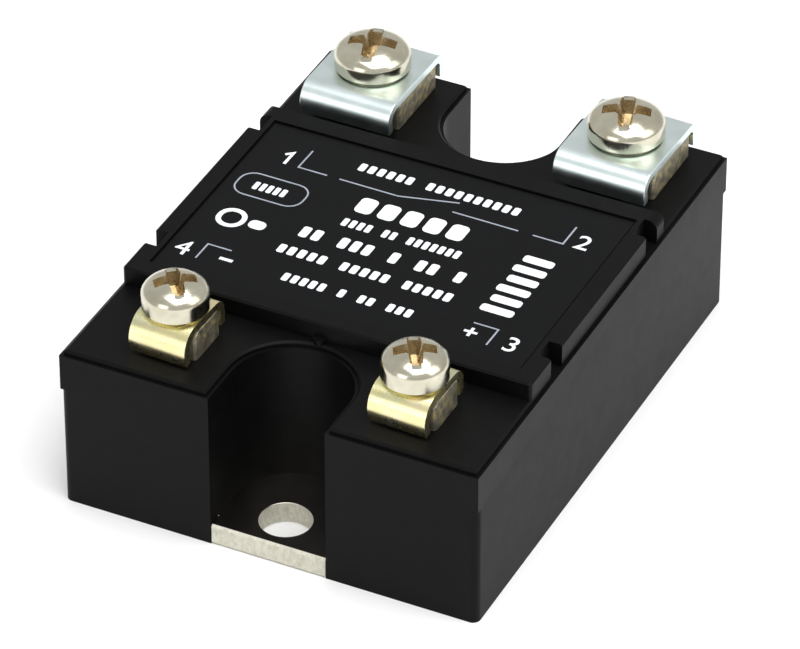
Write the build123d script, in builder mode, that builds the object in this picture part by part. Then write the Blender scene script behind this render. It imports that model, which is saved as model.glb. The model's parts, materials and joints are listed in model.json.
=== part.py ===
from build123d import *
import math
import os

# Panel-mount solid state relay. Millimetres, +Z up, underside of the base plate at z = 0.
# The origin is the middle of the underside. X runs across the body, the input end
# (terminals 3 and 4) is at -Y and the output end (terminals 1 and 2) is at +Y.

# ---------------------------------------------------------------- driving dimensions

body_width = 44.5
body_length = 58.5
rim_height = 17.45        # top of the housing wall
deck_height = 18.0        # top of the lid beside the terminals
block_height = 20.0       # top of the lid's raised middle
wall = 1.6
fit = 0.05                # assembly clearance between glued or pressed pieces

corner_radius = 0.8       # upright corners of the housing below its top band
band_height = 4.0         # sharp-cornered band that ends at the rim

bay_radius = 6.2          # U-shaped screw bay at each end
bay_center_y = 24.1

plate_thickness = 2.3
plate_edge = 0.2
mount_spacing = 50.8
mount_hole_radius = 2.65

lid_inset = 0.35          # step from the housing face in to the lid
lid_thickness = 1.5
lid_edge = 0.2
block_front_y = -16.85
block_back_y = 14.5
block_corner_radius = 0.4
block_back_rounding = 1.1
block_wall = 1.4
notch_depth = 1.4
notch_spans = ((-12.35, -9.8), (9.85, 12.6))
recess_half_width = 19.95
recess_front_y = -14.9
recess_back_y = 12.15
recess_depth = 0.3
label_thickness = 0.1
label_gap = 0.2
gate_mark_radius = 0.75
gate_mark_height = 0.45
gate_mark_x = -0.4

board_underside = 8.0
board_thickness = 1.6
board_half_width = 19.4
board_front_y = -15.4
board_back_y = 11.0
board_corner = 0.8

lid_underside = deck_height - lid_thickness
recess_floor = block_height - recess_depth
board_top = board_underside + board_thickness
lid_half_width = body_width / 2 - lid_inset
inner_half_width = body_width / 2 - wall


class TerminalSize:
    """Sizes that the two terminals of one end share."""

    def __init__(self, **sizes):
        self.__dict__.update(sizes)

    @property
    def inner_y(self):
        """Face of the block that looks at the body's middle."""
        return self.block_front_y if self.axis_y > 0 else self.block_back_y

    @property
    def tab_inset(self):
        """Step from the inner face to the far face of the tab under the block."""
        return self.tab_thickness if self.axis_y > 0 else -self.tab_thickness

    @property
    def tab_y(self):
        """Middle of the tab, which is flush with the inner face."""
        return self.inner_y + self.tab_inset / 2


output_size = TerminalSize(
    spacing=28.1, axis_y=22.5, block_width=9.8, block_front_y=18.4, block_back_y=27.3,
    block_top=20.9, screw_radius=2.0, pitch=0.7, head_radius=3.9, head_side=1.35,
    head_dome=1.8, collar_radius=3.3, collar_height=0.2, shank_length=8.0, slot_width=1.05,
    clamp_width=10.1, clamp_thickness=0.9, clamp_top=21.9, back_foot_height=19.15,
    front_foot_y=16.74, front_foot_height=18.75, clamp_front_y=16.26, front_bend=1.5,
    clamp_back_y=28.0, back_bend=1.05,
    tab_width=6.0, tab_thickness=1.0)

input_size = TerminalSize(
    spacing=25.4, axis_y=-23.1, block_width=6.3, block_front_y=-25.1, block_back_y=-20.1,
    block_top=21.15, screw_radius=1.75, pitch=0.6, head_radius=3.33, head_side=1.55,
    head_dome=1.8, collar_radius=2.8, collar_height=0.25, shank_length=8.0, slot_width=0.95,
    clamp_width=6.15, clamp_thickness=0.8, clamp_top=22.05, back_foot_height=19.0,
    front_foot_y=-26.1, front_foot_height=18.35, clamp_front_y=-27.35, front_bend=1.9,
    clamp_back_y=-19.5, back_bend=1.2,
    tab_width=3.0, tab_thickness=0.8)

block_chamfer = 0.25      # upright corners of a terminal's block
bend_chamfer = 0.5        # its two top edges, which lie inside the clamp's bends
output_foot_inset = 2.5   # from the tracks' end to the end of an output terminal's foot
input_foot_inset = 1.6    # from the board's end to the end of an input terminal's foot
head_bevel = 0.2
thread_depth = 0.35
screw_clearance = 0.5     # gap round a screw's end where it passes through the lid

# screw drive: depths are shares of the dome's height, reaches are shares of the head's
# radius, widths are shares of the slot's width, and slopes are in degrees
slot_overrun = 1.0        # how far the slot's cut runs past the head, in all
slot_depth = 0.38
cross_reach = 1.3
cross_width = 1.5
cross_depth = 1.2
cross_slope = 12
bowl_reach = 0.34
bowl_depth = 1.0
bowl_slope = 20

# number, side, sizes, how far the clamp sits askew, and the way its screw slot points
terminals = (
    (1, -1, output_size, -1.0, 104.0),
    (2, 1, output_size, -1.5, 108.6),
    (3, 1, input_size, -2.5, 120.0),
    (4, -1, input_size, -2.5, 128.0),
)

# power section, stacked on the base plate
solder_thickness = 0.1
solder_inset = 0.5
ceramic_thickness = 0.64
track_thickness = 0.3
chip_thickness = 0.4
strap_thickness = 0.4
ceramic_half_width = 18.2
ceramic_front_y = -8.3
ceramic_back_y = 15.6
track_inner_x = 1.2
track_outer_x = 17.5
track_front_y = -5.0
track_back_y = 15.0
chip_side = 7.0
chip_x = 8.5
chip_1_y = 7.0
chip_2_y = -1.0
strap_width = 3.2
strap_rise = 1.2
strap_pad_reach = 2.0     # past the chip's middle, away from the body's middle
strap_rise_reach = 2.5    # short of the chip's middle
strap_drop_x = 3.0
strap_foot_x = 5.5
gate_x = 8.0
gate_y = -6.9
gate_pad = (2.0, 1.4)
snubber_pin_x = 16.3
snubber_pin_y = 9.0
pin_side = 0.7
pin_stub = 0.6            # how far a pin shows above the control board

ceramic_z = plate_thickness + solder_thickness
track_z = ceramic_z + ceramic_thickness
chip_z = track_z + track_thickness
strap_z = chip_z + chip_thickness


def write(name, part):
    """Label a finished piece and write it as its own STEP file."""
    part.label = name
    export_step(part, f"parts/{name}.step")


def body_outline(inset, radius=0.0):
    """Plan of the body, moved in by inset, with the open screw bay at each end."""
    with BuildSketch(mode=Mode.PRIVATE) as outline:
        Rectangle(body_width - 2 * inset, body_length - 2 * inset)
        for end in (-1, 1):
            with Locations((0, end * bay_center_y)):
                Circle(bay_radius + inset, mode=Mode.SUBTRACT)
            with Locations((0, end * (bay_center_y + bay_radius))):
                Rectangle(2 * (bay_radius + inset), 2 * bay_radius, mode=Mode.SUBTRACT)
        if radius:
            across = outline.vertices().group_by(Axis.X)
            fillet(across[0] + across[-1], radius)
    return outline.sketch


def span(low, high):
    """Middle and length of a stretch."""
    return (low + high) / 2, high - low


def box_part(x_span, y_span, z_span):
    """A plain rectangular piece from its three stretches."""
    x_mid, x_size = span(*x_span)
    y_mid, y_size = span(*y_span)
    with BuildPart() as box:
        with BuildSketch(Plane.XY.offset(z_span[0])):
            with Locations((x_mid, y_mid)):
                Rectangle(x_size, y_size)
        extrude(amount=z_span[1] - z_span[0])
    return box.part


os.makedirs("parts", exist_ok=True)

# ---------------------------------------------------------------- base plate

with BuildPart() as base_plate:
    with BuildSketch():
        Rectangle(2 * (inner_half_width - fit), body_length - 2 * (wall + fit))
        Rectangle(2 * (bay_radius - fit), body_length)
        with GridLocations(0, mount_spacing, 1, 2):
            Circle(mount_hole_radius, mode=Mode.SUBTRACT)
    extrude(amount=plate_thickness)
    ends = base_plate.faces().filter_by(Axis.Y).group_by(Axis.Y)
    chamfer((ends[0] + ends[-1]).edges().filter_by(Axis.X), plate_edge)
write("base_plate", base_plate.part)

# ---------------------------------------------------------------- housing

ledge_size = (2.0, 4.0)
ledge_ys = (-12.0, 1.5)

with BuildPart() as housing:
    with BuildSketch():
        add(body_outline(0, corner_radius))
    extrude(amount=rim_height - band_height)
    with BuildSketch(Plane.XY.offset(rim_height - band_height)):
        add(body_outline(0))
    extrude(amount=band_height)
    with BuildSketch(Plane.XY.offset(plate_thickness)):
        add(body_outline(wall))
    extrude(amount=rim_height - plate_thickness, mode=Mode.SUBTRACT)
    # seat for the base plate
    with BuildSketch():
        Rectangle(2 * inner_half_width, body_length - 2 * wall)
    extrude(amount=plate_thickness, mode=Mode.SUBTRACT)
    # ledges that carry the control board
    for side in (-1, 1):
        for ledge_y in ledge_ys:
            with BuildSketch(Plane.XY.offset(plate_thickness)):
                with Locations((side * (inner_half_width - ledge_size[0] / 2), ledge_y)):
                    Rectangle(*ledge_size)
            extrude(amount=board_underside - plate_thickness)
write("housing", housing.part)

# ---------------------------------------------------------------- lid

block_mid_y, block_length = span(block_front_y, block_back_y)
recess_mid_y, recess_length = span(recess_front_y, recess_back_y)
hollow_half_width = lid_half_width - notch_depth - block_wall

with BuildPart() as lid:
    # flange that rests on the rim, with a bevelled top edge
    with BuildSketch(Plane.XY.offset(rim_height)):
        add(body_outline(lid_inset))
    extrude(amount=deck_height - rim_height - lid_edge)
    with BuildSketch(Plane.XY.offset(deck_height - lid_edge)):
        add(body_outline(lid_inset))
    extrude(amount=lid_edge, taper=45)
    # plug that drops inside the housing wall
    with BuildSketch(Plane.XY.offset(lid_underside)):
        add(body_outline(wall + fit))
    extrude(amount=rim_height - lid_underside)
    # raised middle, flush with the lid's sides
    with BuildSketch(Plane.XY.offset(deck_height - lid_edge)):
        with Locations((0, block_mid_y)):
            RectangleRounded(2 * lid_half_width, block_length, block_corner_radius)
    extrude(amount=block_height - deck_height)
    with BuildSketch(Plane.XY.offset(block_height - lid_edge)):
        with Locations((0, block_mid_y)):
            RectangleRounded(2 * lid_half_width, block_length, block_corner_radius)
    extrude(amount=lid_edge, taper=45)
    # hollow under the raised middle
    with BuildSketch(Plane.XY.offset(lid_underside)):
        with Locations((0, recess_mid_y)):
            Rectangle(2 * hollow_half_width, recess_length)
    extrude(amount=recess_floor - block_wall - lid_underside, mode=Mode.SUBTRACT)
    # seat for the label
    with BuildSketch(Plane.XY.offset(recess_floor)):
        with Locations((0, recess_mid_y)):
            Rectangle(2 * recess_half_width, recess_length)
    extrude(amount=recess_depth, mode=Mode.SUBTRACT)
    # two notches down each side
    for notch_y, notch_length in (span(*stretch) for stretch in notch_spans):
        for side in (-1, 1):
            with BuildSketch(Plane.XY.offset(rim_height)):
                with Locations((side * lid_half_width, notch_y)):
                    Rectangle(2 * notch_depth, notch_length)
            extrude(amount=block_height - rim_height, mode=Mode.SUBTRACT)
    # softened outer edge behind the rear notches
    rear_start_y = notch_spans[1][1]
    for side in (-1, 1):
        with BuildSketch(Plane.XZ.offset(-block_back_y)):
            with Locations((side * lid_half_width, block_height)):
                Rectangle(2 * block_back_rounding, 2 * block_back_rounding)
            with Locations((side * (lid_half_width - block_back_rounding),
                            block_height - block_back_rounding)):
                Circle(block_back_rounding, mode=Mode.SUBTRACT)
        extrude(amount=block_back_y - rear_start_y, mode=Mode.SUBTRACT)
    # moulding gate mark in front of the raised middle
    with BuildSketch(Plane.XY.offset(deck_height - lid_edge)):
        with Locations((gate_mark_x, block_front_y)):
            Circle(gate_mark_radius)
    extrude(amount=lid_edge + gate_mark_height)
    # keyholes under the terminals: screw end and terminal tab
    for number, side, size, askew, slot_angle in terminals:
        x = side * size.spacing / 2
        with BuildSketch(Plane.XY.offset(lid_underside)):
            with Locations((x, size.axis_y)):
                Circle(size.screw_radius + screw_clearance)
            with Locations((x, size.tab_y)):
                Rectangle(size.tab_width + 2 * fit, size.tab_thickness + 2 * fit)
        extrude(amount=lid_thickness, mode=Mode.SUBTRACT)
write("lid", lid.part)

label = box_part((-recess_half_width + label_gap, recess_half_width - label_gap),
                 (recess_front_y + label_gap, recess_back_y - label_gap),
                 (recess_floor, recess_floor + label_thickness))
write("label", label)

# ---------------------------------------------------------------- terminals, clamps, screws


def make_terminal(x, size, foot_z, foot_end_y):
    """Tapped block on the deck, with a tab through the lid and a foot at its lower end."""
    block_mid, block_size = span(size.block_front_y, size.block_back_y)
    foot_mid, foot_size = span(*sorted((foot_end_y, size.inner_y + size.tab_inset)))
    with BuildPart() as terminal:
        with BuildSketch(Plane.XY.offset(deck_height)):
            with Locations((x, block_mid)):
                Rectangle(size.block_width, block_size)
        extrude(amount=size.block_top - deck_height)
        top_edges = terminal.faces().sort_by(Axis.Z)[-1].edges()
        chamfer(top_edges.filter_by(Axis.X), bend_chamfer)
        chamfer(terminal.edges().filter_by(Axis.Z), block_chamfer)
        with BuildSketch(Plane.XY.offset(foot_z)):
            with Locations((x, size.tab_y)):
                Rectangle(size.tab_width, size.tab_thickness)
        extrude(amount=deck_height - foot_z)
        with BuildSketch(Plane.XY.offset(foot_z)):
            with Locations((x, foot_mid)):
                Rectangle(size.tab_width, foot_size)
        extrude(amount=size.tab_thickness)
        with BuildSketch(Plane.XY.offset(deck_height)):
            with Locations((x, size.axis_y)):
                Circle(size.screw_radius + fit)
        extrude(amount=size.block_top - deck_height, mode=Mode.SUBTRACT)
    return terminal.part


def make_clamp(x, size, askew):
    """Saddle that presses the wire down: a bent strip with a swept front leg and a screw hole."""
    turn = math.radians(askew)
    across = Plane(origin=(x, size.axis_y, 0), x_dir=(-math.sin(turn), math.cos(turn), 0),
                   z_dir=(math.cos(turn), math.sin(turn), 0))
    strip_z = size.clamp_top - size.clamp_thickness / 2
    front_foot = (size.front_foot_y - size.axis_y, size.front_foot_height)
    front_corner = (size.clamp_front_y - size.axis_y, strip_z)
    back_corner = (size.clamp_back_y - size.axis_y, strip_z)
    back_foot = (size.clamp_back_y - size.axis_y, size.back_foot_height)
    with BuildPart() as clamp:
        with BuildSketch(across.offset(-size.clamp_width / 2)):
            with BuildLine() as strip:
                Polyline(front_foot, front_corner, back_corner, back_foot)
                fillet(strip.vertices().sort_by(Axis.X)[0], size.front_bend)
                fillet(strip.vertices().group_by(Axis.X)[-1].sort_by(Axis.Y)[-1], size.back_bend)
            trace(line_width=size.clamp_thickness)
        extrude(amount=size.clamp_width)
        with BuildSketch(Plane.XY.offset(size.clamp_top - 2 * size.clamp_thickness)):
            with Locations((x, size.axis_y)):
                Circle(size.screw_radius + fit)
        extrude(amount=3 * size.clamp_thickness, mode=Mode.SUBTRACT)
    return clamp.part


def make_screw(x, size, slot_angle):
    """Pan-head screw with a collar under the head, a grooved shank and a combination drive."""
    head_base = size.clamp_top + size.collar_height
    side_top = head_base + size.head_side
    head_top = side_top + size.head_dome
    tip = size.clamp_top - size.shank_length
    rings = int((size.shank_length - 2 * size.clamp_thickness) / size.pitch)
    half = Plane(origin=(x, size.axis_y, 0), x_dir=(1, 0, 0), z_dir=(0, -1, 0))
    thread = [(size.screw_radius - thread_depth, tip)]
    for ring in range(rings):
        ring_z = tip + (ring + 0.5) * size.pitch
        thread.append((size.screw_radius, ring_z))
        thread.append((size.screw_radius - thread_depth, ring_z + 0.5 * size.pitch))
    thread.append((size.screw_radius, thread[-1][1] + thread_depth))
    with BuildPart() as screw:
        with BuildSketch(half):
            with BuildLine():
                Polyline((0, tip), *thread, (size.screw_radius, size.clamp_top),
                         (size.collar_radius, size.clamp_top), (size.collar_radius, head_base),
                         (size.head_radius - head_bevel, head_base),
                         (size.head_radius, head_base + head_bevel),
                         (size.head_radius, side_top))
                EllipticalCenterArc((0, side_top), size.head_radius, size.head_dome,
                                    start_angle=0, arc_size=90)
                Line((0, head_top), (0, tip))
            make_face()
        revolve(axis=Axis((x, size.axis_y, 0), (0, 0, 1)))
        # slot across the dome, a cross with sloping walls, and a bowl where they meet
        turned = Plane(origin=(x, size.axis_y, head_top),
                       x_dir=(math.cos(math.radians(slot_angle)),
                              math.sin(math.radians(slot_angle)), 0), z_dir=(0, 0, 1))
        with BuildSketch(turned):
            Rectangle(2 * size.head_radius + slot_overrun, size.slot_width)
        extrude(amount=-slot_depth * size.head_dome, mode=Mode.SUBTRACT)
        with BuildSketch(turned):
            Rectangle(cross_reach * size.head_radius, cross_width * size.slot_width)
            Rectangle(cross_width * size.slot_width, cross_reach * size.head_radius)
        extrude(amount=-cross_depth * size.head_dome, taper=cross_slope, mode=Mode.SUBTRACT)
        with BuildSketch(turned):
            Circle(bowl_reach * size.head_radius)
        extrude(amount=-bowl_depth * size.head_dome, taper=bowl_slope, mode=Mode.SUBTRACT)
    return screw.part


terminal_parts = {}
for number, side, size, askew, slot_angle in terminals:
    end_name = "output" if size is output_size else "input"
    x = side * size.spacing / 2
    if size is output_size:
        terminal = make_terminal(x, size, chip_z, track_back_y - output_foot_inset)
    else:
        terminal = make_terminal(x, size, board_top, board_front_y + input_foot_inset)
    terminal_parts[number] = terminal
    write(f"{end_name}_terminal_{number}", terminal)
    write(f"{end_name}_clamp_{number}", make_clamp(x, size, askew))
    write(f"{end_name}_screw_{number}", make_screw(x, size, slot_angle))

# ---------------------------------------------------------------- power section

solder_layer = box_part((-ceramic_half_width + solder_inset, ceramic_half_width - solder_inset),
                        (ceramic_front_y + solder_inset, ceramic_back_y - solder_inset),
                        (plate_thickness, ceramic_z))
write("solder_layer", solder_layer)

ceramic_substrate = box_part((-ceramic_half_width, ceramic_half_width),
                             (ceramic_front_y, ceramic_back_y), (ceramic_z, track_z))
write("ceramic_substrate", ceramic_substrate)

track_mid_x, track_width = span(track_inner_x, track_outer_x)
track_mid_y, track_length = span(track_front_y, track_back_y)
with BuildPart() as copper_tracks:
    with BuildSketch(Plane.XY.offset(track_z)):
        with Locations((-track_mid_x, track_mid_y), (track_mid_x, track_mid_y)):
            Rectangle(track_width, track_length)
        with Locations((-gate_x, gate_y), (gate_x, gate_y)):
            Rectangle(*gate_pad)
    extrude(amount=track_thickness)
write("copper_tracks", copper_tracks.part)

power_parts = [solder_layer, ceramic_substrate, copper_tracks.part]
for number, side, chip_y in ((1, -1, chip_1_y), (2, 1, chip_2_y)):
    chip_left = side * chip_x - chip_side / 2
    chip = box_part((chip_left, chip_left + chip_side),
                    (chip_y - chip_side / 2, chip_y + chip_side / 2), (chip_z, strap_z))
    write(f"thyristor_chip_{number}", chip)
    # the strap runs from the top of the chip over the gap to the other track
    pad_x = side * (chip_x + strap_pad_reach)
    rise_x = side * (chip_x - strap_rise_reach)
    drop_x = -side * strap_drop_x
    foot_x = -side * strap_foot_x
    bridge_z = strap_z + strap_rise
    with BuildPart() as chip_strap:
        with BuildSketch(Plane.XZ.offset(-chip_y - strap_width / 2)):
            with BuildLine():
                Polyline((pad_x, strap_z + strap_thickness / 2),
                         (rise_x, strap_z + strap_thickness / 2), (rise_x, bridge_z),
                         (drop_x, bridge_z), (drop_x, chip_z + strap_thickness / 2),
                         (foot_x, chip_z + strap_thickness / 2))
            trace(line_width=strap_thickness)
        extrude(amount=strap_width)
    write(f"chip_strap_{number}", chip_strap.part)
    power_parts += [chip, chip_strap.part]


def make_pins(x, y):
    """A pair of square pins that stand on the tracks and pass through the control board."""
    with BuildPart() as pins:
        with BuildSketch(Plane.XY.offset(chip_z)):
            with Locations((-x, y), (x, y)):
                Rectangle(pin_side, pin_side)
        extrude(amount=board_top + pin_stub - chip_z)
    return pins.part


gate_pins = make_pins(gate_x, gate_y)
snubber_pins = make_pins(snubber_pin_x, snubber_pin_y)
write("gate_pins", gate_pins)
write("snubber_pins", snubber_pins)

# ---------------------------------------------------------------- control board

board_mid_y, board_length = span(board_front_y, board_back_y)
with BuildPart() as control_board:
    with BuildSketch(Plane.XY.offset(board_underside)):
        with Locations((0, board_mid_y)):
            RectangleRounded(2 * board_half_width, board_length, board_corner)
        with Locations((-gate_x, gate_y), (gate_x, gate_y),
                       (-snubber_pin_x, snubber_pin_y), (snubber_pin_x, snubber_pin_y)):
            Rectangle(pin_side, pin_side, mode=Mode.SUBTRACT)
    extrude(amount=board_thickness)
write("control_board", control_board.part)

opto_y = -7.5
opto_size = (8.6, 6.4, 3.3)
opto_gap = 0.5
opto_edge = 0.3
opto_dot_radius = 0.6
opto_dot_inset = 1.2
opto_dot_depth = 0.3
opto_pitch = 2.54
lead_thickness = 0.3
lead_width = 0.6
lead_reach = 0.8

with BuildPart() as optocoupler:
    with BuildSketch(Plane.XY.offset(board_top + opto_gap)):
        with Locations((0, opto_y)):
            Rectangle(opto_size[0], opto_size[1])
    extrude(amount=opto_size[2])
    chamfer(optocoupler.edges().filter_by(Axis.Z), opto_edge)
    with BuildSketch(Plane.XY.offset(board_top + opto_gap + opto_size[2])):
        with Locations((-opto_size[0] / 2 + opto_dot_inset,
                        opto_y - opto_size[1] / 2 + opto_dot_inset)):
            Circle(opto_dot_radius)
    extrude(amount=-opto_dot_depth, mode=Mode.SUBTRACT)
write("optocoupler", optocoupler.part)

lead_top = board_top + opto_gap + opto_size[2] / 2
with BuildPart() as optocoupler_leads:
    for side in (-1, 1):
        edge_y = opto_y + side * opto_size[1] / 2
        with BuildSketch(Plane.XY.offset(lead_top)):
            with Locations((0, edge_y + side * lead_reach / 2)):
                with GridLocations(opto_pitch, 0, 3, 1):
                    Rectangle(lead_width, lead_reach)
        extrude(amount=lead_thickness)
        with BuildSketch(Plane.XY.offset(board_top)):
            with Locations((0, edge_y + side * (lead_reach - lead_thickness / 2))):
                with GridLocations(opto_pitch, 0, 3, 1):
                    Rectangle(lead_width, lead_thickness)
        extrude(amount=lead_top - board_top)
write("optocoupler_leads", optocoupler_leads.part)

capacitor_place = (-9.0, 5.5)
capacitor_size = (11.0, 5.0, 6.0)
capacitor_corner = 0.5
capacitor_edge = 0.4

with BuildPart() as snubber_capacitor:
    with BuildSketch(Plane.XY.offset(board_top)):
        with Locations(capacitor_place):
            Rectangle(capacitor_size[0], capacitor_size[1])
    extrude(amount=capacitor_size[2])
    fillet(snubber_capacitor.edges().filter_by(Axis.Z), capacitor_corner)
    fillet(snubber_capacitor.faces().sort_by(Axis.Z)[-1].edges(), capacitor_edge)
write("snubber_capacitor", snubber_capacitor.part)


def make_axial(places, along, radius, length, lead_radius, reach):
    """Round two-lead components, each lying over the board with its leads bent down to it."""
    middle_z = board_top + radius + axial_gap
    with BuildPart() as axial:
        for x, y in places:
            start = (x - along[0] * reach, y - along[1] * reach)
            end = (x + along[0] * reach, y + along[1] * reach)
            with BuildLine():
                FilletPolyline((*start, board_top), (*start, middle_z),
                               (*end, middle_z), (*end, board_top), radius=lead_bend)
            with BuildSketch(Plane.XY.offset(board_top)):
                with Locations(start):
                    Circle(lead_radius)
            sweep()
            heart = Plane(origin=(x, y, middle_z), x_dir=(0, 0, 1), z_dir=along)
            with BuildSketch(heart.offset(-length / 2)):
                Circle(radius)
            extrude(amount=length)
    return axial.part


axial_gap = 0.3           # space between a component's body and the board
lead_bend = 0.6
along_x = (1, 0, 0)
along_y = (0, 1, 0)
power_resistor = dict(radius=1.6, length=8.5, lead_radius=0.35, reach=5.8)
small_resistor = dict(radius=0.9, length=4.2, lead_radius=0.25, reach=3.4)
small_diode = dict(radius=1.0, length=4.0, lead_radius=0.3, reach=3.4)
snubber_resistor_place = (8.5, 6.0)
gate_resistor_x = 13.5
gate_resistor_y = -5.5
input_row_y = -13.6
input_row_x = 6.2

write("snubber_resistor", make_axial([snubber_resistor_place], along_x, **power_resistor))
write("gate_resistors", make_axial([(-gate_resistor_x, gate_resistor_y),
                                    (gate_resistor_x, gate_resistor_y)],
                                   along_y, **small_resistor))
write("input_resistor", make_axial([(input_row_x, input_row_y)], along_x, **small_resistor))
write("input_diode", make_axial([(-input_row_x, input_row_y)], along_x, **small_diode))

transistor_x = 15.5
transistor_y = 1.0
transistor_radius = 2.3
transistor_height = 4.6
transistor_flat = 1.7     # from the axis to the flat side
transistor_leg = 1.4
transistor_leg_side = 0.45
transistor_leg_pitch = 1.27
with BuildPart() as input_transistor:
    with BuildSketch(Plane.XY.offset(board_top + transistor_leg)):
        with Locations((transistor_x, transistor_y)):
            Circle(transistor_radius)
        with Locations((transistor_x, transistor_y - transistor_radius - transistor_flat)):
            Rectangle(2 * transistor_radius, 2 * transistor_radius, mode=Mode.SUBTRACT)
    extrude(amount=transistor_height)
    with BuildSketch(Plane.XY.offset(board_top)):
        with Locations((transistor_x, transistor_y)):
            with GridLocations(transistor_leg_pitch, 0, 3, 1):
                Rectangle(transistor_leg_side, transistor_leg_side)
    extrude(amount=transistor_leg)
write("input_transistor", input_transistor.part)

# ---------------------------------------------------------------- potting compound

# fills the lower part of the housing around everything that stands on the base plate
with BuildPart() as potting_compound:
    with BuildSketch(Plane.XY.offset(plate_thickness)):
        add(body_outline(wall))
    extrude(amount=board_underside - plate_thickness)
    add(housing.part, mode=Mode.SUBTRACT)
    for piece in power_parts + [gate_pins, snubber_pins, terminal_parts[1], terminal_parts[2]]:
        add(piece, mode=Mode.SUBTRACT)
write("potting_compound", potting_compound.part)
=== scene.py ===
import json
import math

import bmesh
import bpy
from mathutils import Matrix, Vector


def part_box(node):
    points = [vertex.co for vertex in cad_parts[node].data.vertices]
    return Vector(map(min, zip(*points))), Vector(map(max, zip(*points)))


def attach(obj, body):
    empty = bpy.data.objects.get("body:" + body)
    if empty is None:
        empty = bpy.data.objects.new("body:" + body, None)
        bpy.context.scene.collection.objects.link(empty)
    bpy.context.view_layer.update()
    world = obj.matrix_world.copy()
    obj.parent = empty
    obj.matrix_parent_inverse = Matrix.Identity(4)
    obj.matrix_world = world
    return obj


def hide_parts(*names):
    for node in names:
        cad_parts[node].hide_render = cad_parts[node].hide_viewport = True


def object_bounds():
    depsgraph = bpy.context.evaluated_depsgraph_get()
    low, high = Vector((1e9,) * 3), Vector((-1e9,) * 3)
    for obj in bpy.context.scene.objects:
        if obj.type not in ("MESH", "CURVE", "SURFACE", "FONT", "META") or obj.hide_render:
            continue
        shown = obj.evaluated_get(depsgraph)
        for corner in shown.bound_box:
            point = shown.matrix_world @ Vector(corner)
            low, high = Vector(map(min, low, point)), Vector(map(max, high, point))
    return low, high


# Looks of a panel-mount solid state relay. Metres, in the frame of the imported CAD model.
# The input end (terminals 3 and 4) is at -Y and the output end (terminals 1 and 2) at +Y.

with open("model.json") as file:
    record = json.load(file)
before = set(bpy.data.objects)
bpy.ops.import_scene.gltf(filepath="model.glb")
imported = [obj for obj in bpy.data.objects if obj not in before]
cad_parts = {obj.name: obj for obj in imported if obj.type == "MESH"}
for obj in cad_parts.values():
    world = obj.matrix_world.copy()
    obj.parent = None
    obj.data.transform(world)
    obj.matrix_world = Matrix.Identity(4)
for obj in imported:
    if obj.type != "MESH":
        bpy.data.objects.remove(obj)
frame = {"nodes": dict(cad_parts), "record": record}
cad_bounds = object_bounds()
scene = bpy.context.scene

MM = 0.001
ROOT = "relay_body"
TERMINALS = ((1, "output"), (2, "output"), (3, "input"), (4, "input"))

slot_of = {part["node"]: part["material_slot"] for part in frame["record"]["subparts"]}
body_of = {node: body for body, nodes in frame["record"]["behaviour"]["bodies"].items()
           for node in nodes}


# ---------------------------------------------------------------- materials


class Surface:
    """A Principled material with a short way to add nodes in object space."""

    def __init__(self, name, metallic=0.0, specular=0.5, coat=0.0):
        self.material = bpy.data.materials.new(name)
        self.material.use_nodes = True
        self.tree = self.material.node_tree
        self.shader = self.tree.nodes["Principled BSDF"]
        self.shader.inputs["Metallic"].default_value = metallic
        self.shader.inputs["Specular IOR Level"].default_value = specular
        self.shader.inputs["Coat Weight"].default_value = coat
        self.place = self.tree.nodes.new("ShaderNodeTexCoord").outputs["Object"]
        self.bump = None

    def link(self, output, target):
        self.tree.links.new(output, target)

    def noise(self, size, detail=4.0, stretch=(1, 1, 1)):
        """Noise whose grains are about size metres across."""
        mapping = self.tree.nodes.new("ShaderNodeMapping")
        mapping.inputs["Scale"].default_value = stretch
        self.link(self.place, mapping.inputs["Vector"])
        noise = self.tree.nodes.new("ShaderNodeTexNoise")
        noise.inputs["Scale"].default_value = 1 / size
        noise.inputs["Detail"].default_value = detail
        self.link(mapping.outputs["Vector"], noise.inputs["Vector"])
        return noise.outputs["Fac"]

    def ramp(self, value, *stops):
        """Colour ramp through (position, linear colour) stops."""
        node = self.tree.nodes.new("ShaderNodeValToRGB")
        elements = node.color_ramp.elements
        while len(elements) < len(stops):
            elements.new(0.5)
        for element, (position, colour) in zip(elements, stops):
            element.position = position
            element.color = (*colour, 1)
        self.link(value, node.inputs["Fac"])
        return node.outputs["Color"]

    def colour(self, output):
        self.link(output, self.shader.inputs["Base Color"])

    def roughness(self, value, low, high):
        node = self.tree.nodes.new("ShaderNodeMapRange")
        node.inputs["To Min"].default_value = low
        node.inputs["To Max"].default_value = high
        self.link(value, node.inputs["Value"])
        self.link(node.outputs["Result"], self.shader.inputs["Roughness"])

    def relief(self, value, depth, strength=1.0):
        """Bump of the given depth in metres, added to any bump already there."""
        node = self.tree.nodes.new("ShaderNodeBump")
        node.inputs["Distance"].default_value = depth
        node.inputs["Strength"].default_value = strength
        self.link(value, node.inputs["Height"])
        if self.bump is not None:
            self.link(self.bump, node.inputs["Normal"])
        self.bump = node.outputs["Normal"]
        self.link(self.bump, self.shader.inputs["Normal"])


def shade(colour, factor):
    return tuple(channel * factor for channel in colour)


def plain(name, colour, spread=0.15, grain=0.4 * MM, rough=(0.4, 0.55), depth=0.004 * MM, **kind):
    """One-colour finish whose tone, gloss and relief vary with its grain."""
    surface = Surface(name, **kind)
    broad = surface.noise(12 * grain)
    fine = surface.noise(grain)
    surface.colour(surface.ramp(broad, (0.3, shade(colour, 1 - spread)),
                                (0.7, shade(colour, 1 + spread))))
    surface.roughness(broad, *rough)
    surface.relief(fine, depth)
    return surface


def black_moulding():
    surface = plain("black_moulding", (0.0026, 0.0026, 0.0027), spread=0.2, grain=0.16 * MM,
                    rough=(0.4, 0.5), depth=0.003 * MM, specular=0.095)
    surface.relief(surface.noise(3 * MM, detail=2), 0.01 * MM)
    return surface


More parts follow.
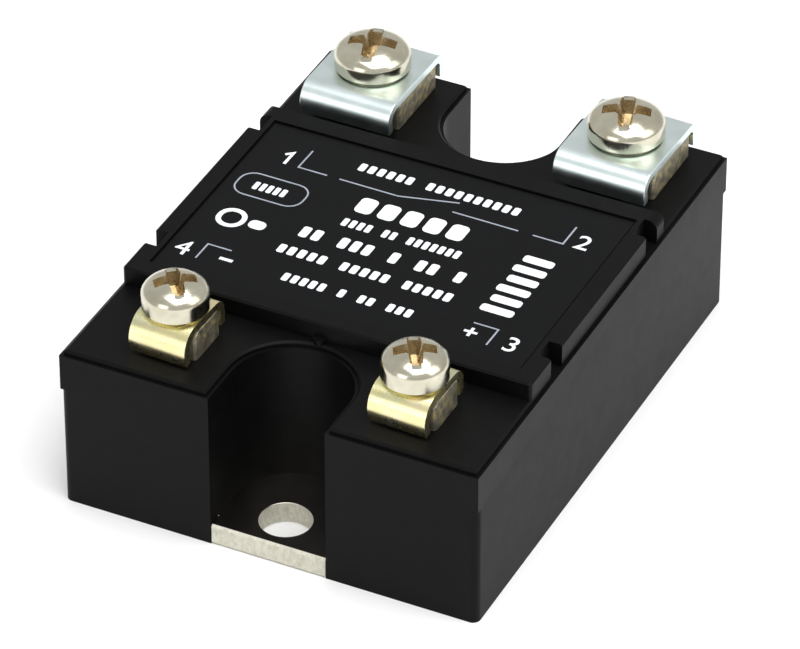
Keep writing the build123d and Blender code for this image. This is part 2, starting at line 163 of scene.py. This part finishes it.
def label_print():
    return plain("label_print", (0.0026, 0.0028, 0.0033), spread=0.12, grain=0.1 * MM,
                 rough=(0.36, 0.44), depth=0.0012 * MM, specular=0.1)


def white_ink():
    return plain("white_ink", (0.76, 0.79, 0.81), spread=0.06, grain=0.08 * MM,
                 rough=(0.5, 0.6), depth=0.001 * MM)


def thin_ink():
    """The same ink in hairlines, where the black film shows through it."""
    return plain("thin_ink", (0.3, 0.33, 0.38), spread=0.12, grain=0.1 * MM,
                 rough=(0.5, 0.6), depth=0.001 * MM)


def nickel_plate():
    """Polished face of the base plate, which mirrors the black walls round it."""
    surface = Surface("nickel_plate", metallic=1.0)
    broad = surface.noise(4 * MM)
    surface.colour(surface.ramp(broad, (0.3, (0.5, 0.46, 0.4)), (0.7, (0.62, 0.58, 0.52))))
    surface.roughness(surface.noise(1.5 * MM), 0.12, 0.22)
    surface.relief(surface.noise(0.3 * MM), 0.0015 * MM)
    return surface


def sheared_edge():
    """Rough cut edge of the base plate, pale and slightly yellow."""
    surface = Surface("sheared_edge", metallic=0.25)
    grain = surface.noise(0.35 * MM, detail=6, stretch=(1, 1, 0.6))
    surface.colour(surface.ramp(grain, (0.3, (0.46, 0.45, 0.36)), (0.62, (0.64, 0.62, 0.53))))
    surface.roughness(grain, 0.5, 0.75)
    surface.relief(grain, 0.03 * MM)
    return surface


def nickel_clamp():
    """Bright bent strip with faint rolling lines along its length."""
    surface = Surface("nickel_clamp", metallic=1.0)
    broad = surface.noise(2.4 * MM)
    lines = surface.noise(0.5 * MM, stretch=(7, 0.5, 0.5))
    surface.colour(surface.ramp(broad, (0.3, (0.72, 0.83, 0.82)), (0.7, (0.82, 0.91, 0.9))))
    surface.roughness(broad, 0.26, 0.38)
    surface.relief(lines, 0.004 * MM)
    return surface


def yellow_clamp():
    """Yellow passivated zinc, which drifts between straw, green and silver."""
    surface = Surface("yellow_clamp", metallic=1.0)
    broad = surface.noise(2.8 * MM, detail=3)
    patch = surface.noise(1.1 * MM)
    surface.colour(surface.ramp(broad, (0.3, (0.7, 0.71, 0.47)), (0.45, (0.84, 0.78, 0.42)),
                                (0.6, (0.9, 0.8, 0.5)), (0.75, (0.8, 0.79, 0.63))))
    surface.roughness(patch, 0.22, 0.34)
    surface.relief(surface.noise(0.3 * MM, stretch=(6, 0.6, 0.6)), 0.003 * MM)
    return surface


def terminal_brass():
    """Rough, dull plated brass with yellow spots where the plating is thin."""
    surface = Surface("terminal_brass", metallic=0.85)
    spots = surface.noise(0.7 * MM, detail=6)
    surface.colour(surface.ramp(spots, (0.35, (0.2, 0.19, 0.15)), (0.58, (0.4, 0.36, 0.25)),
                                (0.7, (0.7, 0.52, 0.16))))
    surface.roughness(spots, 0.38, 0.62)
    surface.relief(surface.noise(0.2 * MM), 0.02 * MM)
    return surface


def nickel_screw():
    """Nickel-plated steel, a little warmer than the clamps, with tool marks."""
    surface = Surface("nickel_screw", metallic=1.0)
    broad = surface.noise(1.6 * MM)
    surface.colour(surface.ramp(broad, (0.3, (0.56, 0.53, 0.41)), (0.7, (0.7, 0.67, 0.54))))
    surface.roughness(surface.noise(0.9 * MM), 0.13, 0.24)
    surface.relief(surface.noise(0.16 * MM), 0.004 * MM)
    return surface


def screw_recess():
    """Punched drive of a screw, where the plating is thin and brown."""
    surface = Surface("screw_recess", metallic=1.0)
    broad = surface.noise(0.8 * MM)
    surface.colour(surface.ramp(broad, (0.3, (0.46, 0.38, 0.26)), (0.7, (0.7, 0.61, 0.44))))
    surface.roughness(broad, 0.2, 0.34)
    surface.relief(surface.noise(0.2 * MM), 0.008 * MM)
    return surface


def circuit_board():
    """Green solder mask over a faint glass weave."""
    surface = plain("circuit_board", (0.02, 0.11, 0.045), spread=0.15, grain=0.3 * MM,
                    rough=(0.25, 0.4), depth=0.002 * MM, coat=0.3)
    surface.relief(surface.noise(0.4 * MM, stretch=(4, 0.5, 1)), 0.004 * MM)
    return surface


SURFACES = {
    "black_moulding": black_moulding(),
    "label_print": label_print(),
    "nickel_plate": nickel_plate(),
    "nickel_clamp": nickel_clamp(),
    "yellow_clamp": yellow_clamp(),
    "terminal_brass": terminal_brass(),
    "nickel_screw": nickel_screw(),
    "circuit_board": circuit_board(),
    "solder": plain("solder", (0.45, 0.45, 0.46), metallic=0.9),
    "alumina": plain("alumina", (0.8, 0.79, 0.76), spread=0.05),
    "copper": plain("copper", (0.72, 0.34, 0.2), rough=(0.25, 0.4), metallic=1.0),
    "silicon": plain("silicon", (0.1, 0.1, 0.13), rough=(0.15, 0.25), metallic=0.6),
    "tinned_pin": plain("tinned_pin", (0.7, 0.7, 0.68), rough=(0.22, 0.35), metallic=1.0),
    "black_component": plain("black_component", (0.015, 0.015, 0.016)),
    "capacitor_case": plain("capacitor_case", (0.35, 0.06, 0.03), rough=(0.3, 0.42)),
    "resistor_body": plain("resistor_body", (0.32, 0.22, 0.12), rough=(0.45, 0.6)),
    "potting": plain("potting", (0.012, 0.012, 0.013), rough=(0.3, 0.5)),
}
INK = white_ink()
THIN_INK = thin_ink()
EDGE = sheared_edge()
RECESS = screw_recess()

for name, node in frame["nodes"].items():
    node.data.materials.clear()
    node.data.materials.append(SURFACES[slot_of[name]].material)


# ---------------------------------------------------------------- softened edges

# width of the rounding on each kind of piece
ROUNDING = {
    "housing": 0.1 * MM,
    "lid": 0.06 * MM,
    "base_plate": 0.08 * MM,
    "terminal": 0.12 * MM,
    "clamp": 0.1 * MM,
    "screw": 0.07 * MM,
}
SHARP_EDGE = 28               # degrees between two faces that get a rounding
SCREW_EDGE = 35
WELD = 0.001 * MM             # vertices nearer than this are one
FLAT = 0.5                    # degrees between two faces that are one
LEVEL = 0.9                   # how level a face is before it counts as plated
HEAD_DOME = 1.8 * MM          # height of a screw's domed part
RECESS_REACH = 0.25           # how far the drive goes below the dome, as a share of it
RECESS_SHARE = 0.96           # a face nearer the middle than this share of the dome is inside it


def soften(name, width, segments=3, angle=SHARP_EDGE):
    """Stands in for a CAD node with the same shape and small rounded edges."""
    mesh = frame["nodes"][name].data.copy()
    mesh.name = f"{name}_shell"
    custom_normals = mesh.attributes.get("custom_normal")
    if custom_normals:
        mesh.attributes.remove(custom_normals)
    shape = bmesh.new()
    shape.from_mesh(mesh)
    bmesh.ops.remove_doubles(shape, verts=shape.verts, dist=WELD)
    bmesh.ops.dissolve_limit(shape, angle_limit=math.radians(FLAT), verts=shape.verts,
                             edges=shape.edges)
    for face in shape.faces:
        face.smooth = True
    for edge in shape.edges:
        edge.smooth = True
    shape.to_mesh(mesh)
    shape.free()
    piece = bpy.data.objects.new(f"{name}_shell", mesh)
    scene.collection.objects.link(piece)
    rounding = piece.modifiers.new("rounded_edges", "BEVEL")
    rounding.width = width
    rounding.segments = segments
    rounding.limit_method = "ANGLE"
    rounding.angle_limit = math.radians(angle)
    rounding.harden_normals = True
    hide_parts(name)
    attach(piece, body_of[name])
    return piece


def brown_recess(piece, name):
    """Gives the drive's floor and walls, which lie inside the dome, their own finish."""
    low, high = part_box(name)
    middle = (low + high) / 2
    radius = (high.x - low.x) / 2
    dome_base = high.z - HEAD_DOME
    piece.data.materials.append(RECESS.material)
    for face in piece.data.polygons:
        across = math.hypot(face.center.x - middle.x, face.center.y - middle.y) / radius
        rise = (face.center.z - dome_base) / HEAD_DOME
        above_neck = rise > -RECESS_REACH
        if above_neck and math.hypot(across, max(rise, 0)) < RECESS_SHARE:
            face.material_index = 1


def rough_edges(piece):
    """Gives every upright face of the base plate its sheared finish."""
    piece.data.materials.append(EDGE.material)
    for face in piece.data.polygons:
        face.material_index = 0 if abs(face.normal.z) > LEVEL else 1


soften("housing", ROUNDING["housing"])
soften("lid", ROUNDING["lid"])
rough_edges(soften("base_plate", ROUNDING["base_plate"]))
for number, end in TERMINALS:
    soften(f"{end}_terminal_{number}", ROUNDING["terminal"])
    soften(f"{end}_clamp_{number}", ROUNDING["clamp"])
    screw = f"{end}_screw_{number}"
    brown_recess(soften(screw, ROUNDING["screw"], angle=SCREW_EDGE), screw)


# ---------------------------------------------------------------- legend

LABEL_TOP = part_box("label")[1].z
INK_THICKNESS = 0.03 * MM
INK_SINK = 0.01 * MM          # how far the print reaches into the film
PRINT_TURN = math.radians(-0.9)
# stroke widths in millimetres
HAIRLINE = 0.17
SIGN_LINE = 0.42
THIN_SIGN_LINE = 0.32
RING_LINE = 0.55
# a printed word is a run of blank blocks
BLOCK_FILL = 0.68             # share of the pitch that a block covers
BLOCK_CORNER = 0.3            # corner radius, as a share of the block's width
WORD_GAP = 1.2                # space between words, in pitches

print_turn = Matrix.Rotation(PRINT_TURN, 4, "Z")


def add_plate(shape, outline):
    """Thin printed patch from its outline in millimetres, anticlockwise."""
    low = LABEL_TOP - INK_SINK
    verts = [shape.verts.new((x * MM, y * MM, low)) for x, y in outline]
    face = shape.faces.new(verts)
    grown = bmesh.ops.extrude_face_region(shape, geom=[face])["geom"]
    top = [item for item in grown if isinstance(item, bmesh.types.BMVert)]
    bmesh.ops.translate(shape, verts=top, vec=(0, 0, INK_THICKNESS + INK_SINK))


def rounded_outline(x0, x1, y0, y1, radius, steps=4):
    """Rectangle with round corners, anticlockwise."""
    corners = ((x1, y0, -90), (x1, y1, 0), (x0, y1, 90), (x0, y0, 180))
    points = []
    for x, y, start in corners:
        centre_x = x - radius if x == x1 else x + radius
        centre_y = y - radius if y == y1 else y + radius
        for step in range(steps + 1):
            angle = math.radians(start + 90 * step / steps)
            points.append((centre_x + radius * math.cos(angle),
                           centre_y + radius * math.sin(angle)))
    return points


def add_line(shape, start, end, width):
    """Straight stroke with square ends."""
    along = Vector(end) - Vector(start)
    along.normalize()
    side = Vector((-along.y, along.x)) * width / 2
    reach = along * width / 2
    first, last = Vector(start) - reach, Vector(end) + reach
    add_plate(shape, [first - side, last - side, last + side, first + side])


def add_path(shape, *points, width):
    """Stroke of even width with mitred corners."""
    points = [Vector(point) for point in points]
    runs = [(end - start).normalized() for start, end in zip(points, points[1:])]
    left, right = [], []
    for i, point in enumerate(points):
        before, after = runs[max(i - 1, 0)], runs[min(i, len(runs) - 1)]
        mitre = (Vector((-before.y, before.x)) + Vector((-after.y, after.x))).normalized()
        reach = width / 2 / mitre.dot(Vector((-after.y, after.x)))
        left.append(point + mitre * reach)
        right.append(point - mitre * reach)
    add_plate(shape, right + left[::-1])


def add_frame(shape, x0, x1, y0, y1, radius, width, steps=6):
    """Closed stroke round a rounded rectangle."""
    outer = rounded_outline(x0, x1, y0, y1, radius, steps)
    inner = rounded_outline(x0 + width, x1 - width, y0 + width, y1 - width, radius - width, steps)
    for i in range(len(outer)):
        j = (i + 1) % len(outer)
        add_plate(shape, [outer[i], outer[j], inner[j], inner[i]])


def add_words(shape, x0, x1, y0, y1, words, fill=BLOCK_FILL, gap=WORD_GAP):
    """A text line as rows of blank blocks: the number of blocks in each word."""
    count = sum(words) + gap * (len(words) - 1)
    pitch = (x1 - x0) / count
    x = x0
    for blocks in words:
        for _ in range(blocks):
            width = pitch * fill
            add_plate(shape, rounded_outline(x, x + width, y0, y1, width * BLOCK_CORNER))
            x += pitch
        x += gap * pitch


def finish_print(name, shape, ink=INK):
    """Turns the print to lie as the label does, and gives it its ink."""
    bmesh.ops.recalc_face_normals(shape, faces=shape.faces)
    bmesh.ops.transform(shape, matrix=print_turn, verts=shape.verts)
    mesh = bpy.data.meshes.new(name)
    shape.to_mesh(mesh)
    shape.free()
    mesh.materials.append(ink.material)
    piece = bpy.data.objects.new(name, mesh)
    scene.collection.objects.link(piece)
    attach(piece, ROOT)
    return piece


def add_plus(shape, x, y, size, width):
    """Plus sign as one outline."""
    long, short = size / 2, width / 2
    arm = ((long, -short), (long, short), (short, short))
    outline = []
    for quarter in range(4):
        turn = Matrix.Rotation(math.radians(90 * quarter), 2)
        outline += [turn @ Vector(point) + Vector((x, y)) for point in arm]
    add_plate(shape, outline)


# places below are in millimetres on the label, from the middle of the body

# brackets that point at terminals 1, 2, 4 and 3, then the open switch between 1 and 2
HAIRLINES = (
    ((-14.3, 8.9), (-14.3, 5.75), (-11.1, 5.75)),
    ((14.85, 8.9), (14.85, 5.75), (11.6, 5.75)),
    ((-16.1, -12.45), (-16.1, -9.85), (-13.5, -9.85)),
    ((15.45, -12.5), (15.45, -9.8), (12.8, -9.8)),
    ((-9.7, 5.75), (-3.2, 5.75), (2.8, 7.4)),
    ((2.8, 5.75), (10.0, 5.75)),
)
# left, right, bottom, top and corner radius of the box round the left approval field
FIELD_BOX = (-18.7, -11.1, -0.9, 3.1, 1.6)

brackets = bmesh.new()
for points in HAIRLINES:
    add_path(brackets, *points, width=HAIRLINE)
add_frame(brackets, *FIELD_BOX, HAIRLINE)
finish_print("legend_lines", brackets, THIN_INK)

MINUS = ((-13.8, -11.4), (-12.8, -11.4))
PLUS_MIDDLE = (13.2, -11.3)
PLUS_SIZE = 1.4

signs = bmesh.new()
add_line(signs, *MINUS, SIGN_LINE)
add_plus(signs, *PLUS_MIDDLE, PLUS_SIZE, THIN_SIGN_LINE)
finish_print("legend_signs", signs)

# blank rows where printed lines would be: left, right, bottom, top and the blocks in each word
ROWS = (
    (-8.9, 9.1, 7.95, 9.25, (6, 10)),
    (-6.1, 7.0, -1.2, 0.1, (4, 2, 7)),
    (-9.0, 9.2, -4.7, -2.9, (2, 3, 1, 2, 1)),
    (-9.7, 9.5, -7.95, -6.55, (5, 5, 5)),
    (-7.1, 7.2, -11.95, -10.65, (5, 1, 2, 3)),
)
TITLE_ROW = (-6.1, 6.4, 1.5, 4.1, (5,))
TITLE_FILL = 0.74

rows = bmesh.new()
for row in ROWS:
    add_words(rows, *row)
add_words(rows, *TITLE_ROW, fill=TITLE_FILL)
finish_print("legend_rows", rows)

# blank approval fields: a row in the box, a ring with a pill beside it, and a ladder of bars
BOX_ROW = (-16.8, -13.0, 0.4, 1.7, (5,))
RING = (-17.7, -14.6, -6.5, -3.3, 1.5)
PILL = (-14.2, -12.4, -5.6, -4.2, 0.6)
BAR_COUNT = 6
BAR_LEFT = 12.2
BAR_STAGGER = 0.25            # every second bar starts this much further right
BAR_RIGHT = 15.7
BAR_BOTTOM = -7.6
BAR_HEIGHT = 1.1
BAR_PITCH = 1.8
BAR_CORNER = 0.35

fields = bmesh.new()
add_words(fields, *BOX_ROW)
add_frame(fields, *RING, RING_LINE)
add_plate(fields, rounded_outline(*PILL))
for bar in range(BAR_COUNT):
    bar_left = BAR_LEFT + BAR_STAGGER * (bar % 2)
    bar_low = BAR_BOTTOM + BAR_PITCH * bar
    add_plate(fields, rounded_outline(bar_left, BAR_RIGHT, bar_low, bar_low + BAR_HEIGHT,
                                      BAR_CORNER))
finish_print("legend_fields", fields)


NUMERAL_WEIGHT = 0.004        # outward growth of each stroke, as a share of the letter size


def numeral(text, x, y, height):
    """A terminal number, turned into a mesh and scaled to its printed height."""
    curve = bpy.data.curves.new(f"numeral_{text}", "FONT")
    curve.body = text
    curve.extrude = 1.0
    curve.offset = NUMERAL_WEIGHT
    source = bpy.data.objects.new(f"numeral_{text}_outline", curve)
    scene.collection.objects.link(source)
    bpy.context.view_layer.update()
    mesh = bpy.data.meshes.new_from_object(source.evaluated_get(
        bpy.context.evaluated_depsgraph_get()))
    bpy.data.objects.remove(source)
    low = Vector([min(v.co[i] for v in mesh.vertices) for i in range(3)])
    high = Vector([max(v.co[i] for v in mesh.vertices) for i in range(3)])
    scale = height * MM / (high.y - low.y)
    middle = (low + high) / 2
    thickness = INK_THICKNESS + INK_SINK
    shape = bmesh.new()
    shape.from_mesh(mesh)
    for vert in shape.verts:
        vert.co.x = x * MM + (vert.co.x - middle.x) * scale
        vert.co.y = y * MM + (vert.co.y - middle.y) * scale
        vert.co.z = LABEL_TOP - INK_SINK + thickness * (vert.co.z > middle.z)
    finish_print(f"numeral_{text}", shape)


# the 1 is a flag and a stem, and the other numbers are set in type
ONE = ((-16.5, 7.15), (-15.85, 7.7), (-15.85, 5.65))
NUMERAL_HEIGHT = 2.3
NUMERALS = (("2", 16.6, 6.8), ("3", 17.6, -11.4), ("4", -18.0, -11.4))

one = bmesh.new()
add_path(one, *ONE, width=THIN_SIGN_LINE)
finish_print("numeral_1", one)
for text, x, y in NUMERALS:
    numeral(text, x, y, NUMERAL_HEIGHT)


# ---------------------------------------------------------------- floor, light, camera

low, high = cad_bounds
span = (high - low).length


FLOOR_SPANS = 60              # the floor's side, in diagonals of the object
FLOOR_GAP = 0.02 * MM         # keeps the floor out of the plane of the underside


def pale_floor():
    surface = plain("pale_floor", (0.86, 0.86, 0.86), spread=0.01, grain=2 * MM,
                    rough=(0.75, 0.85), depth=0.0, specular=0.1)
    bpy.ops.mesh.primitive_plane_add(size=FLOOR_SPANS * span, location=(0, 0, low.z - FLOOR_GAP))
    floor = bpy.context.object
    floor.name = "floor"
    floor.data.materials.append(surface.material)


def softbox(name, direction, distance, size, strength):
    """Square area light that faces the middle of the object."""
    light = bpy.data.lights.new(name, "AREA")
    light.size = size
    light.energy = strength
    lamp = bpy.data.objects.new(name, light)
    scene.collection.objects.link(lamp)
    towards = Vector(direction).normalized()
    lamp.location = towards * distance
    lamp.rotation_euler = towards.to_track_quat("Z", "Y").to_euler()


# name, direction from the object, distance and side in metres, and power in watts
LIGHTS = (
    ("top_light", (0.25, -0.15, 1.0), 0.9, 0.8, 8.5),
    ("right_light", (1.0, 0.1, 0.75), 0.8, 0.5, 1.15),
    ("front_light", (-0.25, -1.0, 0.35), 0.9, 0.45, 1.2),
)
SKY = 0.62                    # strength of the even white light from all round

pale_floor()
for light_setup in LIGHTS:
    softbox(*light_setup)

world = bpy.data.worlds.new("studio")
world.use_nodes = True
world.node_tree.nodes["Background"].inputs["Color"].default_value = (1, 1, 1, 1)
world.node_tree.nodes["Background"].inputs["Strength"].default_value = SKY
scene.world = world
scene.view_settings.view_transform = "Standard"

AZIMUTH = math.radians(25.877)
ELEVATION = math.radians(36.343)
DISTANCE = 0.59645
LENS = 268.7
SENSOR = 36
AIM_RIGHT = -0.000065
AIM_UP = 0.007168

back = Vector((math.sin(AZIMUTH) * math.cos(ELEVATION),
               -math.cos(AZIMUTH) * math.cos(ELEVATION), math.sin(ELEVATION)))
right = Vector((math.cos(AZIMUTH), math.sin(AZIMUTH), 0))
up = back.cross(right)
lens = bpy.data.cameras.new("camera")
lens.lens = LENS
lens.sensor_width = SENSOR
camera = bpy.data.objects.new("camera", lens)
scene.collection.objects.link(camera)
turn = Matrix((right, up, back)).transposed()
camera.matrix_world = Matrix.Translation(DISTANCE * back + AIM_RIGHT * right
                                         + AIM_UP * up) @ turn.to_4x4()
scene.camera = camera
